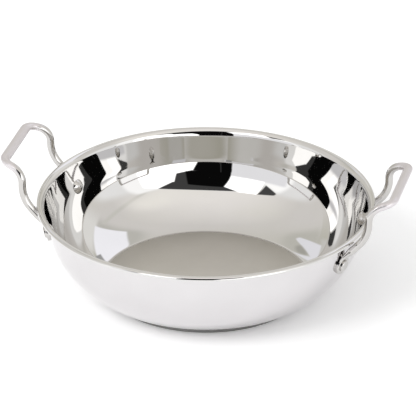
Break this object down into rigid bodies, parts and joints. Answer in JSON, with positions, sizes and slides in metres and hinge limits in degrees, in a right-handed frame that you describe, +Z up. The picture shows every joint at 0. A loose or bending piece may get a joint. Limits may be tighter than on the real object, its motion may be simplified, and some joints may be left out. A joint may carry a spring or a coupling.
{
  "type": "kadai",
  "caption": "Round stainless-steel kadai: deep flat-floored bowl with a flared and curled lip, bonded base disc and riveted bent-rod loop handles on opposite sides.",
  "frame": {"origin": "middle of the base's underside", "axes": "+Z up out of the bowl's mouth, handles along +X and -X"},
  "size_m": [0.3098, 0.26, 0.1069],
  "materials": {
    "bowl_steel": "mirror polished inside and out, satin floor",
    "base_aluminium": "milled",
    "base_steel": "turned satin",
    "handle_steel": "polished legs, satin grip",
    "rivet_steel": "polished"
  },
  "bodies": {
    "root": {"bowl_shell": "bowl_steel", "base_core_disc": "base_aluminium", "base_cap": "base_steel", "right_handle": "handle_steel", "left_handle": "handle_steel", "right_front_rivet": "rivet_steel", "right_back_rivet": "rivet_steel", "left_front_rivet": "rivet_steel", "left_back_rivet": "rivet_steel"}
  },
  "joints": []
}
